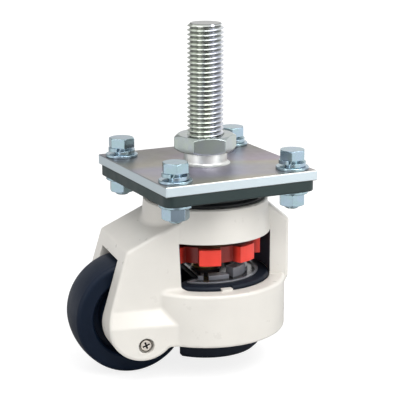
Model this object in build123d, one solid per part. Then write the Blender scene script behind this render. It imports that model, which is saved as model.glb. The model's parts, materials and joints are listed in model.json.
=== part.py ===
from build123d import *
import math
import os

# Levelling castor: a swivel castor whose cast housing carries a wheel on one side and a
# screw-down rubber foot under the swivel axis, on a square plate with a threaded stud.
# Origin: centre of the mounting plate's top face, on the swivel axis.
# +Z runs up the stud and the wheel lies towards -X. All sizes are in millimetres.

# ---- clearances -----------------------------------------------------------------------
seat_gap = 0.05        # between fixed pieces that share a round seat
running_gap = 0.06     # radial play of a shaft that turns or slides in its bore
side_gap = 0.3         # between faces that pass each other
hole_play = 0.5        # radial play of a bolt in its plain hole
near_enough = 0.05     # when edges are picked by where they are

# ---- mounting plate, stud and lock nut ------------------------------------------------
plate_side = 90.0
plate_thickness = 5.5
plate_edge_break = 0.4
plate_yaw = 7.5        # turn of the plate about the swivel axis, against the housing
stud_radius = 10.0
stud_top = 77.0
stud_tip_chamfer = 1.6
stud_thread_fall = 0.8 # to the thread's pitch line, where the lock nut grips it
stud_root_step = 1.0   # to the end that is welded into the plate
collar_step = 2.0
collar_height = 7.0
collar_edge = 0.5
weld_leg = 1.8
lock_nut_flats = 30.0
lock_nut_height = 9.0
lock_nut_turn = -130.0
lock_nut_mouth = 0.5   # of its countersink outside the thread

# ---- plate bolts ----------------------------------------------------------------------
bolt_margin = 10.0     # from the plate's edge to the bolts
bolt_radius = 4.0
bolt_flats = 13.0
bolt_head_height = 5.3
bolt_nut_height = 6.8
bolt_tail = 1.8        # thread that stands out below the nut
bolt_tip_chamfer = 0.7
washer_radius = 9.0
washer_thickness = 1.6
washer_edge = 0.25
spring_washer_radius = 7.4
spring_washer_thickness = 2.0
spring_washer_rise = 1.8  # of its upper end over its lower end
spring_washer_turn = 350.0 # degrees that its wire goes round
spring_washer_phase = -118.0
hex_chamfer_angle = 30.0
bolt_corners = ("left", "front", "right", "back")
bolt_head_turns = {"left": -94.0, "front": -102.0, "right": -114.0, "back": -109.0}
bolt_nut_turns = {"left": -100.0, "front": -128.0, "right": -108.0, "back": -95.0}

# ---- swivel plate, king and swivel bearing --------------------------------------------
swivel_plate_step = 0.3  # inside the mounting plate's edge
swivel_plate_thickness = 6.0
swivel_plate_corner = 5.0
swivel_plate_edge = 0.8
king_shank_radius = 14.0
king_head_radius = 17.0
king_bore_play = 1.5   # around the spindle
king_neck_radius = 19.0
king_race_fall = 2.0   # of the race's land inside the balls' pitch circle
king_race_height = 7.0
ball_radius = 2.5
ball_pitch_radius = 26.6
ball_count = 20
ball_play = 0.12
race_wall = 1.9        # outside the balls
race_height = 6.0
seal_width = 5.1
seal_margin = 2.0      # inside the housing's neck
seal_lip = 1.2
seal_edge = 0.3

# ---- housing --------------------------------------------------------------------------
neck_top = -18.5
neck_wall = 3.6
neck_edge = 0.8
drum_flare = 1.4       # of the drum from its neck to the windows
drum_wall = 4.5
window_top = -37.5
sill = -63.5
ring_wall = 8.5        # around the foot's bore
ring_bottom = -93.0
ring_edge = 1.8
web_top = -29.2
web_thickness = 4.0
hub_wall = 3.5
hub_drop = 5.3
foot_bore_radius = 36.0
roof_start = (-10.0, -19.2)
roof_slope = 25.2      # degrees down towards the wheel
hood_reach = 7.2       # from the axle to where the roof meets the leg's front edge
hood_corner = 3.0
hood_taper = 1.8       # of the roof's half width against the legs'
leg_play = 1.0         # between the wheel's hub and a leg
leg_wall = 12.5
edge_radius = 2.0
crease_radius = 3.0
neck_fillet = 3.0      # where the roof and the legs meet the drum
junction_fillet = 2.8  # where the legs meet the lower ring
post_edge = 2.5
lobe_radius = 18.5
lobe_fillet = 3.0      # between the lobe and the underside of the lower ring
boss_slope_top = -72.0
boss_slope_bottom = -80.5
boss_step_far = 3.5    # of the boss outside the leg, at the wheel's side
boss_step_near = 7.3   # and where it runs into the lower ring
boss_overrun = 20.0    # of the boss's section beyond the axle
boss_sink = 1.0        # of the boss's widest corner into the lower ring
arch_gap = 3.0         # between the wheel's tread and the arch over it
post_half_width = 14.0
post_step = 2.2        # outside the lower ring
post_top = -33.0
post_foot = -66.0
post_foot_drop = 5.0
post_root = 6.0        # of its start inside the neck
post_neck_fall = 4.0   # from the neck's top to where it leaves the neck
post_neck_slope = 2.0
post_foot_sink = 0.4   # into the lower ring
key_half_width = 3.1
key_depth = 2.6
key_rise = 1.0

# ---- wheel, axle and wheel bearings ---------------------------------------------------
wheel_clear = 13.5     # from the swivel axis to the wheel's tread
wheel_top = -48.5
wheel_radius = 32.5
wheel_width = 26.0
wheel_crown = 1.2      # fall of the tread from its middle to its shoulders
wheel_shoulder = 3.0
wheel_rim = 10.3       # outside the recess in the wheel's side
wheel_recess_depth = 7.0
wheel_recess_edge = 1.0 # of the recess's rim, and its draft
wheel_hub_edge = 0.5
wheel_hub_wall = 3.0   # around the bearing
wheel_hub_step = 1.5   # of the hub beyond the tread's width
axle_radius = 6.0
axle_chamfer = 0.6
axle_slot_depth = 8.5
bearing_outer_radius = 14.0
bearing_width = 8.0
bearing_outer_wall = 2.2
bearing_inner_wall = 2.3
bearing_ball_radius = 1.9
bearing_ball_count = 8
bearing_shield_thickness = 0.4
bearing_seat_lip = 1.0
keeper_drop = 9.8      # from the axle down to the keeper screw
keeper_forward = 1.2
keeper_block_height = 8.6
screw_radius = 2.0
screw_play = 0.2       # in the housing
screw_tip_chamfer = 0.4
screw_tip_step = 1.0   # outside the leg's inner face
screw_head_edge = 0.8
screw_head_radius = 3.4
screw_head_height = 2.2
screw_recess_radius = 4.3
screw_seat_step = 2.4  # of the screw's seat outside the leg
screw_cross = 4.2
screw_cross_width = 1.0
screw_cross_turn = 20.0

# ---- spindle, adjusting ring and foot -------------------------------------------------
spindle_radius = 8.0
spindle_top = -16.0
bush_wall = 2.0
bush_flange_step = 3.0
bush_flange_height = 1.2
nut_wall = 3.5         # around the spindle
nut_collar_step = 4.5
nut_collar_height = 2.3
nut_bore_chamfer = 0.6
nut_top = -26.2
nut_recess = 0.5       # of the nut's end inside the adjusting ring
nut_washer_thickness = 1.2
adjuster_height = 9.0
adjuster_radius = 30.6
adjuster_root_radius = 25.0
adjuster_teeth = 8
adjuster_phase = -104.0
adjuster_wall = 3.0
adjuster_hub_wall = 3.5
adjuster_rib = 2.2
spindle_tip_chamfer = 1.2
spindle_shoulder = 2.0
spindle_tail = 2.5     # below the lower retaining ring
thrust_washer_thickness = 1.5
clip_stand_out = 1.4   # of a retaining ring from its shaft
clip_thickness = 1.2
clip_groove_depth = 0.8
foot_top = -60.5
foot_bottom = -104.0
foot_play = 0.6        # of the foot's rim in the housing
foot_step = 4.9        # of the foot's base inside its rim
foot_base_edge = 2.0
foot_flare_height = 6.0
foot_flare_rise = 3.0  # of the flare's start above the housing's underside
foot_base_draft = 0.4
foot_top_edge = 1.0
core_stand = 1.0       # of the core's rim above the rubber
foot_groove_radii = (10.0, 18.0, 26.0)
foot_groove_width = 2.0
foot_groove_depth = 1.5
pad_rim = 5.9          # rubber around the core's face
core_face_drop = 1.0
core_rim_width = 1.4
core_plate = 4.0
pad_wall = 2.5         # rubber over the core's side
core_hub_wall = 4.4
core_hub_bottom = -78.0
lug_inner_radius = 17.5
lug_outer_radius = 23.6
lug_count = 10
lug_width_angle = 29.0
lug_heights = (3.0, 6.0)
pocket_gap = 1.5       # between the wheel and the pocket in the foot
pocket_flank = 33.0    # degrees that the pocket's flanks open by

# ---- sizes and levels that follow from the ones above ---------------------------------
stud_pitch_radius = stud_radius - stud_thread_fall
stud_root_radius = stud_radius - stud_root_step
collar_radius = stud_radius + collar_step
bolt_pitch = plate_side - 2 * bolt_margin
swivel_plate_side = plate_side - 2 * swivel_plate_step
king_bore_radius = spindle_radius + king_bore_play
king_race_radius = ball_pitch_radius - king_race_fall
race_outer_radius = ball_pitch_radius + ball_radius + race_wall
neck_radius = race_outer_radius + neck_wall
drum_radius = neck_radius + drum_flare
seal_outer_radius = neck_radius - seal_margin
seal_inner_radius = seal_outer_radius - seal_width
ring_radius = foot_bore_radius + ring_wall
post_radius = ring_radius + post_step
wheel_offset = wheel_radius + wheel_clear
axle_height = wheel_top - wheel_radius
wheel_recess_radius = wheel_radius - wheel_rim
wheel_hub_radius = bearing_outer_radius + wheel_hub_wall
wheel_hub_face = wheel_width / 2 + wheel_hub_step
bearing_inner_face = wheel_hub_face - bearing_width
leg_inner = wheel_hub_face + leg_play
leg_half_width = leg_inner + leg_wall
hood_half_width = leg_half_width - hood_taper
hood_front = -wheel_offset - hood_reach
boss_half_width_far = leg_half_width + boss_step_far
boss_half_width_near = leg_half_width + boss_step_near
boss_far = -wheel_offset - boss_overrun
boss_near = boss_sink - math.sqrt(ring_radius ** 2 - boss_half_width_near ** 2)
screw_recess_floor = leg_half_width + screw_seat_step
nut_radius = spindle_radius + nut_wall
nut_collar_radius = nut_radius + nut_collar_step
bush_radius = nut_radius + bush_wall
bush_flange_radius = bush_radius + bush_flange_step
hub_radius = bush_radius + hub_wall
adjuster_hub_radius = nut_radius + adjuster_hub_wall
spindle_journal_radius = spindle_radius - spindle_shoulder
core_hub_radius = spindle_journal_radius + core_hub_wall
foot_rim_radius = foot_bore_radius - foot_play
foot_base_radius = foot_rim_radius - foot_step
core_radius = foot_rim_radius - pad_rim
swivel_plate_top = -plate_thickness
swivel_plate_bottom = swivel_plate_top - swivel_plate_thickness
lower_washer_bottom = swivel_plate_bottom - washer_thickness
head_bottom = washer_thickness + spring_washer_thickness + spring_washer_rise
race_bottom = neck_top - race_height
ball_level = neck_top - race_height / 2
king_race_bottom = ball_level - king_race_height / 2
king_race_top = ball_level + king_race_height / 2
hub_bottom = web_top - web_thickness - hub_drop
nut_washer_bottom = hub_bottom - nut_washer_thickness
adjuster_top = nut_washer_bottom - nut_collar_height
adjuster_bottom = adjuster_top - adjuster_height
core_face = foot_top - core_face_drop
core_plate_bottom = core_face - core_plate
thrust_washer_radius = spindle_radius + side_gap
spindle_tip = core_hub_bottom - clip_thickness - spindle_tail
well_bottom = spindle_tip - side_gap
washer_top = core_face + thrust_washer_thickness
race_land_radius = 2 * ball_pitch_radius - king_race_radius
pocket_wall = -wheel_offset + wheel_radius + pocket_gap
bearing_pitch = (bearing_outer_radius - bearing_outer_wall
                 + axle_radius + bearing_inner_wall) / 2
slot_end = leg_inner + axle_slot_depth
axle_half_length = slot_end - side_gap
top_span = 200.0       # larger than any piece, for cutting tools


# ---- shared helpers -------------------------------------------------------------------
def turned(*points):
    """Solid of revolution about Z from (radius, height) points."""
    return revolve(make_face(Plane.XZ * Polyline(*points, close=True)), Axis.Z)


def tube(outer, inner, bottom, top):
    """Plain ring about Z."""
    return turned((inner, bottom), (outer, bottom), (outer, top), (inner, top))


def disc(radius, bottom, top):
    """Plain cylinder about Z between two heights."""
    return Pos(0, 0, (bottom + top) / 2) * Cylinder(radius, top - bottom)


def on_axle(shape):
    """Turn a shape built about Z so that its axis is the wheel's axle."""
    return Pos(-wheel_offset, 0, axle_height) * Rot(90, 0, 0) * shape


def mirrored_y(shape):
    """The same shape on the other side of the XZ plane."""
    return mirror(shape, about=Plane.XZ)


def hex_blank(flats, bottom, top, turn, both_ends):
    """Hexagon prism whose corners are cut back by a cone, as on a nut or a bolt head."""
    corner = flats / 2 / math.cos(math.pi / 6)
    fall = (corner - flats / 2) * math.tan(math.radians(hex_chamfer_angle))
    prism = Pos(0, 0, bottom) * extrude(RegularPolygon(corner, 6, rotation=turn), top - bottom)
    upper = [(corner, top - fall), (flats / 2, top), (0, top)]
    lower = [(0, bottom), (corner, bottom)]
    if both_ends:
        lower = [(0, bottom), (flats / 2, bottom), (corner, bottom + fall)]
    return prism & turned(*lower, *upper)


def bolt_places():
    """Centre of each plate bolt by the name of its corner."""
    half = bolt_pitch / 2
    corners = {"left": (-half, half), "front": (-half, -half),
               "right": (half, -half), "back": (half, half)}
    turn = math.radians(plate_yaw)
    places = {}
    for name, (x, y) in corners.items():
        places[name] = (x * math.cos(turn) - y * math.sin(turn),
                        x * math.sin(turn) + y * math.cos(turn))
    return places


def bolt_holes(bottom, top):
    """Clearance holes for the four plate bolts."""
    hole = disc(bolt_radius + hole_play, bottom - 1, top + 1)
    return [Pos(x, y, 0) * hole for x, y in bolt_places().values()]


# ---- plates, stud and their fasteners -------------------------------------------------
def make_mounting_plate():
    """Square plate with four bolt holes and the seat of the stud."""
    plate = Pos(0, 0, -plate_thickness / 2) * Rot(0, 0, plate_yaw) * Box(
        plate_side, plate_side, plate_thickness)
    plate = chamfer(plate.edges(), plate_edge_break)
    plate -= disc(stud_root_radius + seat_gap, -plate_thickness - 1, 1)
    return plate - bolt_holes(-plate_thickness, 0)


def make_stud():
    """Threaded stud with a collar and a root that is welded into the plate."""
    free_thread = collar_height + lock_nut_height + side_gap
    return turned(
        (0, -plate_thickness + seat_gap), (stud_root_radius, -plate_thickness + seat_gap),
        (stud_root_radius, 0), (collar_radius + weld_leg, 0), (collar_radius, weld_leg),
        (collar_radius, collar_height - collar_edge), (collar_radius - collar_edge, collar_height),
        (stud_pitch_radius, collar_height), (stud_pitch_radius, free_thread),
        (stud_radius, free_thread), (stud_radius, stud_top - stud_tip_chamfer),
        (stud_radius - stud_tip_chamfer, stud_top), (0, stud_top))


def make_lock_nut():
    """Thin hexagon nut that rests on the stud's collar."""
    top = collar_height + lock_nut_height
    blank = hex_blank(lock_nut_flats, collar_height, top, lock_nut_turn, True)
    bore = disc(stud_pitch_radius + seat_gap, collar_height - 1, top + 1)
    mouth = stud_radius - stud_pitch_radius + lock_nut_mouth
    countersink = turned((0, top), (0, top - mouth), (stud_pitch_radius, top - mouth),
                         (stud_pitch_radius + mouth, top))
    return blank - bore - countersink


def make_bolt(name):
    """Hexagon bolt through both plates, head up."""
    head_top = head_bottom + bolt_head_height
    head = hex_blank(bolt_flats, head_bottom, head_top, bolt_head_turns[name], False)
    tip = lower_washer_bottom - bolt_nut_height - bolt_tail
    shank = turned((0, tip), (bolt_radius - bolt_tip_chamfer, tip),
                   (bolt_radius, tip + bolt_tip_chamfer),
                   (bolt_radius, head_bottom), (0, head_bottom))
    return head + shank


def make_bolt_nut(name):
    """Hexagon nut under the swivel plate."""
    bottom = lower_washer_bottom - bolt_nut_height
    blank = hex_blank(bolt_flats, bottom, lower_washer_bottom, bolt_nut_turns[name], True)
    return blank - disc(bolt_radius + seat_gap, bottom - 1, lower_washer_bottom + 1)


def make_washer(bottom):
    """Flat washer of the plate bolts."""
    ring = tube(washer_radius, bolt_radius + hole_play / 2, bottom, bottom + washer_thickness)
    rims = ring.edges().filter_by(GeomType.CIRCLE).sort_by(SortBy.RADIUS)[-2:]
    return chamfer(rims, washer_edge)


def make_spring_washer():
    """Spring washer under the bolt head: one open turn of square wire."""
    inner = bolt_radius + hole_play / 2
    turn = spring_washer_turn / 360
    path = Helix(pitch=spring_washer_rise / turn, height=spring_washer_rise,
                 radius=(inner + spring_washer_radius) / 2)
    wire = Plane(origin=path @ 0, x_dir=(1, 0, 0), z_dir=path % 0) * Rectangle(
        spring_washer_radius - inner, spring_washer_thickness)
    level = washer_thickness + spring_washer_thickness / 2
    return Pos(0, 0, level) * Rot(0, 0, spring_washer_phase) * sweep(wire, path, is_frenet=True)


# ---- swivel bearing -------------------------------------------------------------------
def ball_groove():
    """Ring-shaped groove that both raceways take their share of."""
    section = Plane.XZ * Pos(ball_pitch_radius, ball_level) * Circle(ball_radius + ball_play)
    return revolve(section, Axis.Z)


def make_swivel_plate():
    """Pressed plate that the castor hangs from, with a countersink for the king's head."""
    outline = RectangleRounded(swivel_plate_side, swivel_plate_side, swivel_plate_corner)
    plate = extrude(Rot(0, 0, plate_yaw) * outline, swivel_plate_thickness)
    plate = Pos(0, 0, swivel_plate_bottom) * plate
    plate = fillet(plate.faces().sort_by(Axis.Z)[0].edges(), swivel_plate_edge)
    shank_hole = disc(king_shank_radius + seat_gap, swivel_plate_bottom - 1, swivel_plate_top + 1)
    depth = king_head_radius - king_shank_radius
    sink = turned((0, swivel_plate_top), (0, swivel_plate_top - depth - seat_gap),
                  (king_shank_radius + 2 * seat_gap, swivel_plate_top - depth - seat_gap),
                  (king_head_radius + 3 * seat_gap, swivel_plate_top))
    holes = bolt_holes(swivel_plate_bottom, swivel_plate_top)
    return plate - shank_hole - sink - holes


def make_king():
    """Hollow king: riveted into the swivel plate, with the inner raceway on its flange."""
    top = swivel_plate_top - seat_gap
    depth = king_head_radius - king_shank_radius
    body = turned(
        (king_bore_radius, top), (king_head_radius, top),
        (king_shank_radius, top - depth), (king_shank_radius, swivel_plate_bottom),
        (king_neck_radius, swivel_plate_bottom), (king_neck_radius, king_race_top),
        (king_race_radius, king_race_top), (king_race_radius, king_race_bottom),
        (king_bore_radius, king_race_bottom))
    return body - ball_groove()


def make_swivel_race():
    """Outer raceway, pressed into the mouth of the housing."""
    return tube(race_outer_radius, race_land_radius, race_bottom, neck_top) - ball_groove()


def make_swivel_balls():
    """Full row of bearing balls."""
    balls = [loc * Sphere(ball_radius) for loc in PolarLocations(ball_pitch_radius, ball_count)]
    return Pos(0, 0, ball_level) * Compound(children=balls)


def make_dust_seal():
    """Rubber ring that closes the gap between the swivel plate and the housing."""
    low = neck_top + side_gap
    return turned((seal_inner_radius, swivel_plate_bottom), (seal_inner_radius, low),
                  (seal_outer_radius, low), (seal_outer_radius, low + seal_lip),
                  (seal_outer_radius - seal_lip, low + 2 * seal_lip),
                  (seal_outer_radius - seal_lip, swivel_plate_bottom - seal_lip),
                  (seal_outer_radius - seal_edge, swivel_plate_bottom))


# ---- housing --------------------------------------------------------------------------
def leg_outline():
    """Side view of hood and leg: sloping roof, straight front edge, round lobe."""
    run = roof_start[0] - hood_front
    corner = (hood_front, roof_start[1] - run * math.tan(math.radians(roof_slope)))
    centre = (-wheel_offset, axle_height)
    reach = math.hypot(corner[0] - centre[0], corner[1] - centre[1])
    aim = math.atan2(corner[1] - centre[1], corner[0] - centre[0])
    touch = aim + math.acos(lobe_radius / reach)
    start = (centre[0] + lobe_radius * math.cos(touch), centre[1] + lobe_radius * math.sin(touch))
    bottom = (centre[0], centre[1] - lobe_radius)
    sweep = lobe_radius + lobe_fillet
    fall = axle_height - ring_bottom + lobe_fillet
    ahead = math.sqrt(sweep ** 2 - fall ** 2)
    share = lobe_radius / sweep
    leave = (centre[0] + ahead * share, centre[1] - fall * share)
    level = (centre[0] + ahead, ring_bottom)
    roof = FilletPolyline(roof_start, corner, start, radius=hood_corner)
    lobe = ThreePointArc(start, bottom, leave)
    blend = RadiusArc(leave, level, lobe_fillet)
    back = Polyline(level, (roof_start[0], ring_bottom), roof_start)
    return Plane.XZ * make_face(roof + lobe + blend + back)


def leg_section(z, far, near):
    """Plan section of hood and legs at one height, from the wheel's side to the ring."""
    outline = Polyline((boss_far, -far), (boss_near, -near), (roof_start[0], -near),
                       (roof_start[0], near), (boss_near, near), (boss_far, far), close=True)
    return Pos(0, 0, z) * make_face(outline)


def leg_block():
    """Hood and both legs as one tapered block, before the wheel's pocket is cut."""
    top = roof_start[1] + 1
    upper = loft([leg_section(boss_slope_top, leg_half_width, leg_half_width),
                  leg_section(top, hood_half_width, hood_half_width)])
    slope = loft([leg_section(boss_slope_bottom, boss_half_width_far, boss_half_width_near),
                  leg_section(boss_slope_top, leg_half_width, leg_half_width)])
    floor = axle_height - lobe_radius - 1
    lower = extrude(leg_section(floor, boss_half_width_far, boss_half_width_near),
                    boss_slope_bottom - floor)
    side = extrude(leg_outline(), boss_half_width_near + 1, both=True)
    return (upper + slope + lower) & side


def at_level(edge, *levels):
    """Whether an edge is level and lies at one of the heights."""
    flat = edge.bounding_box().size.Z < near_enough
    return flat and any(abs(edge.center().Z - level) < near_enough for level in levels)


def rounded_legs():
    """Hood and legs with rounded creases and outer edges, as they leave the mould."""
    block = leg_block()
    creases = [edge for edge in block.edges()
               if at_level(edge, boss_slope_top, boss_slope_bottom) and edge.center().X < roof_start[0]]
    block = fillet(creases, crease_radius)
    rear = lobe_radius + lobe_fillet - wheel_offset - 1
    outer = [edge for edge in block.edges() if abs(edge.center().Y) > leg_inner
             and edge.center().X < rear and edge.bounding_box().size.Z > near_enough]
    return fillet(outer, edge_radius)


def drum():
    """Upper part of the casting, which takes the swivel bearing."""
    return turned((0, neck_top), (neck_radius - neck_edge, neck_top),
                  (neck_radius, neck_top - neck_edge),
                  (drum_radius, window_top), (0, window_top))


def lower_ring():
    """Ring around the foot, with rounded edges."""
    ring = disc(ring_radius, ring_bottom, sill)
    return fillet(ring.edges().filter_by(GeomType.CIRCLE), ring_edge)


def front_post():
    """Wall between the two windows, opposite the wheel."""
    inner = neck_radius - post_root
    outset = neck_top - post_neck_fall
    foot = post_foot - post_foot_drop
    profile = turned((inner, outset + post_neck_slope), (neck_radius, outset),
                     (post_radius, post_top), (post_radius, post_foot),
                     (ring_radius - post_foot_sink, foot), (inner, foot))
    slab = Box(post_radius + 1, 2 * post_half_width, top_span, align=(Align.MIN, Align.CENTER,
                                                                     Align.CENTER))
    post = profile & slab
    sides = [edge for edge in post.edges() if edge.center().X > drum_radius
             and abs(abs(edge.center().Y) - post_half_width) < near_enough
             and edge.bounding_box().size.Z > post_edge]
    return fillet(sides, post_edge)


def housing_shell():
    """Outer form of the casting: drum, lower ring, post, hood and legs."""
    upper = drum() + rounded_legs()
    neck = [edge for edge in upper.edges() if edge.geom_type != GeomType.LINE
            and -foot_bore_radius - 4 < edge.center().X < -leg_half_width / 2
            and window_top < edge.center().Z < neck_top - 4]
    shell = fillet(neck, neck_fillet) + lower_ring() + front_post()
    junction = [edge for edge in shell.edges() if boss_far < edge.center().X < boss_near + 1
                and ring_bottom + near_enough < edge.center().Z < sill + near_enough
                and abs(edge.center().Y) > leg_inner
                and edge.center().X > -foot_bore_radius
                and math.hypot(edge.center().X, edge.center().Y) > foot_rim_radius + foot_step]
    return fillet(junction, junction_fillet)


def housing_bores():
    """Everything that is turned out of the casting about the swivel axis."""
    web_bottom = web_top - web_thickness
    race_seat = disc(race_outer_radius + seat_gap, race_bottom, neck_top + 1)
    king_room = disc(race_land_radius, web_top, neck_top)
    bush_seat = disc(bush_radius + seat_gap, hub_bottom - 1, neck_top)
    under_web = tube(drum_radius - drum_wall, hub_radius, hub_bottom, web_bottom)
    around_hub = tube(foot_bore_radius, hub_radius, hub_bottom, window_top)
    foot_bore = disc(foot_bore_radius, ring_bottom - 1, hub_bottom)
    return [race_seat, king_room, bush_seat, under_web, around_hub, foot_bore]


def wheel_pocket():
    """Room for the wheel between the legs, open at the front and below."""
    arch = on_axle(Cylinder(wheel_radius + arch_gap, 2 * leg_inner))
    reach = 2 * (wheel_radius + arch_gap)
    below = Pos(-wheel_offset, 0, axle_height) * Box(
        reach, 2 * leg_inner, reach, align=(Align.CENTER, Align.CENTER, Align.MAX))
    front = Pos(-wheel_offset, 0, axle_height) * Box(
        reach, 2 * leg_inner, reach, align=(Align.MAX, Align.CENTER, Align.MAX))
    return arch + below + front


def axle_slot():
    """Seat of the axle's end in a leg, open below so that the axle goes in with the wheel."""
    wide = axle_radius + seat_gap
    round_end = Cylinder(wide, slot_end, align=(Align.CENTER, Align.CENTER, Align.MIN))
    drop = lobe_radius + 1
    mouth = Pos(-wheel_offset, 0, axle_height) * Box(
        2 * wide, slot_end, drop, align=(Align.CENTER, Align.MAX, Align.MAX))
    return on_axle(round_end) + mouth


def at_keeper(shape):
    """Place a shape built about Z on the keeper screw's axis, its +Z pointing out of the leg."""
    place = Pos(-wheel_offset + keeper_forward, 0, axle_height - keeper_drop)
    return place * Rot(90, 0, 0) * shape


def keeper_recess():
    """Counterbore and clearance hole of the keeper screw."""
    recess = disc(screw_recess_radius, screw_recess_floor, top_span / 2)
    hole = disc(screw_radius + screw_play, leg_inner, screw_recess_floor + seat_gap)
    return at_keeper(recess + hole)


def guide_key():
    """Key in the foot's bore that stops the foot from turning."""
    top = sill + key_rise
    rib = Pos(0, -foot_bore_radius, (top + ring_bottom) / 2) * Box(
        2 * key_half_width, 2 * key_depth, top - ring_bottom)
    inside = disc(foot_bore_radius + 1, ring_bottom, top)
    return rib & inside


def make_housing():
    """Cast housing: drum, lower ring, front post, hood and two legs in one piece."""
    casting = housing_shell() - housing_bores() - wheel_pocket()
    for cut in (axle_slot(), keeper_recess()):
        casting = casting - cut - mirrored_y(cut)
    return casting + guide_key() + mirrored_y(guide_key())


# ---- spindle, nut and adjusting ring --------------------------------------------------
def retaining_ring(radius, groove_radius, top, thickness):
    """Open retaining ring that sits in the groove of a shaft."""
    ring = tube(radius, groove_radius + seat_gap, top - thickness, top)
    opening = Box(radius + 1, groove_radius / 2, 4 * thickness, align=(Align.MIN, Align.CENTER,
                                                                       Align.CENTER))
    return ring - Pos(0, 0, top) * opening


def make_adjuster_bush():
    """Plain bush in the housing's hub, in which the adjusting nut turns."""
    bore = nut_radius + running_gap
    return turned((bore, hub_bottom), (bush_radius, hub_bottom), (bush_radius, web_top),
                  (bush_flange_radius, web_top), (bush_flange_radius, web_top + bush_flange_height),
                  (bore, web_top + bush_flange_height))


def make_adjuster_washer():
    """Thrust washer between the housing's hub and the collar of the nut."""
    return tube(nut_collar_radius, nut_radius + hole_play / 2, nut_washer_bottom, hub_bottom)


def make_adjuster_nut():
    """Nut that lifts the spindle: journal above, collar, and a seat for the adjusting ring."""
    bore = spindle_radius + running_gap
    groove = nut_radius - clip_groove_depth
    groove_bottom = web_top + bush_flange_height + seat_gap
    groove_top = groove_bottom + clip_thickness + 2 * seat_gap
    collar_top = nut_washer_bottom - seat_gap
    bottom = adjuster_bottom + nut_recess
    wide = bore + nut_bore_chamfer
    return turned((wide, bottom), (nut_radius, bottom), (nut_radius, adjuster_top),
                  (nut_collar_radius, adjuster_top), (nut_collar_radius, collar_top),
                  (nut_radius, collar_top), (nut_radius, groove_bottom), (groove, groove_bottom),
                  (groove, groove_top), (nut_radius, groove_top), (nut_radius, nut_top),
                  (wide, nut_top), (bore, nut_top - nut_bore_chamfer),
                  (bore, bottom + nut_bore_chamfer))


def make_adjuster_clip():
    """Retaining ring that keeps the adjusting nut in the housing."""
    top = web_top + bush_flange_height + 2 * seat_gap + clip_thickness
    return retaining_ring(nut_radius + clip_stand_out, nut_radius - clip_groove_depth, top,
                          clip_thickness)


def make_spindle():
    """Threaded spindle that stands in the foot, with a shoulder and a journal below."""
    shoulder = washer_top
    groove_top = core_hub_bottom - seat_gap
    groove_bottom = groove_top - clip_thickness - seat_gap
    groove_radius = spindle_journal_radius - clip_groove_depth
    return turned((0, spindle_top), (spindle_radius - spindle_tip_chamfer, spindle_top),
                  (spindle_radius, spindle_top - spindle_tip_chamfer), (spindle_radius, shoulder),
                  (spindle_journal_radius, shoulder), (spindle_journal_radius, groove_top),
                  (groove_radius, groove_top), (groove_radius, groove_bottom),
                  (spindle_journal_radius, groove_bottom), (spindle_journal_radius, spindle_tip),
                  (0, spindle_tip))


def tooth_outline():
    """Plan of the adjusting ring: round root with parallel-sided teeth."""
    width = 2 * adjuster_radius * math.sin(math.pi / adjuster_teeth / 2)
    bar = Rectangle(adjuster_radius + 1, width, align=(Align.MIN, Align.CENTER))
    outline = Circle(adjuster_root_radius)
    for turn in range(adjuster_teeth):
        angle = adjuster_phase + turn * 360 / adjuster_teeth
        outline += (Rot(0, 0, angle) * bar) & Circle(adjuster_radius)
    return outline


def make_adjuster_ring():
    """Moulded adjusting ring with block teeth, ribbed underneath, fixed on the spindle."""
    ring = Pos(0, 0, adjuster_bottom) * extrude(tooth_outline(), adjuster_height)
    rim = adjuster_root_radius - adjuster_wall
    hollow = tube(rim, adjuster_hub_radius, adjuster_bottom - 1, adjuster_top - adjuster_wall)
    rib = Box(rim + 1, adjuster_rib, adjuster_height - adjuster_wall,
              align=(Align.MIN, Align.CENTER, Align.MIN))
    ribs = [Rot(0, 0, adjuster_phase + turn * 360 / adjuster_teeth) * Pos(0, 0, adjuster_bottom)
            * rib for turn in range(adjuster_teeth)]
    bore = disc(nut_radius + seat_gap, adjuster_bottom - 1, adjuster_top + 1)
    return ring - hollow + ribs - bore


def make_spindle_clip():
    """Retaining ring in the groove at the lower end of the spindle."""
    top = core_hub_bottom - 2 * seat_gap
    return retaining_ring(spindle_journal_radius + clip_stand_out,
                          spindle_journal_radius - clip_groove_depth, top, clip_thickness)


# ---- foot -----------------------------------------------------------------------------
def foot_plan(radius, inset):
    """Plan of the foot: a circle with a pocket that clears the wheel, its wall set in."""
    wall = pocket_wall + inset
    half = wheel_width / 2 + pocket_gap + inset
    reach = 2 * foot_rim_radius
    spread = half + reach * math.tan(math.radians(pocket_flank))
    pocket = Polygon((wall, -half), (wall, half), (wall - reach, spread),
                     (wall - reach, -spread), align=None)
    return Circle(radius) - pocket


def foot_slab(radius, inset, bottom, top):
    """Piece of the foot with a constant plan between two heights."""
    return Pos(0, 0, bottom) * extrude(foot_plan(radius, inset), top - bottom)


def make_foot_core():
    """Moulded core of the foot: face plate with a raised rim and lugs, and a hub below it."""
    plate = foot_slab(core_radius, pad_wall, core_plate_bottom, foot_top)
    face = foot_slab(core_radius - core_rim_width, pad_wall + core_rim_width, core_face, foot_top + 1)
    seat = disc(thrust_washer_radius + side_gap, core_face, foot_top + 1)
    hub = disc(core_hub_radius, core_hub_bottom, core_face)
    inside = foot_slab(core_radius, pad_wall, core_hub_bottom, foot_top)
    bore = disc(spindle_journal_radius + running_gap, core_hub_bottom - 1, foot_top + 1)
    return plate - face - seat + (hub & inside) + lugs() - bore


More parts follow.
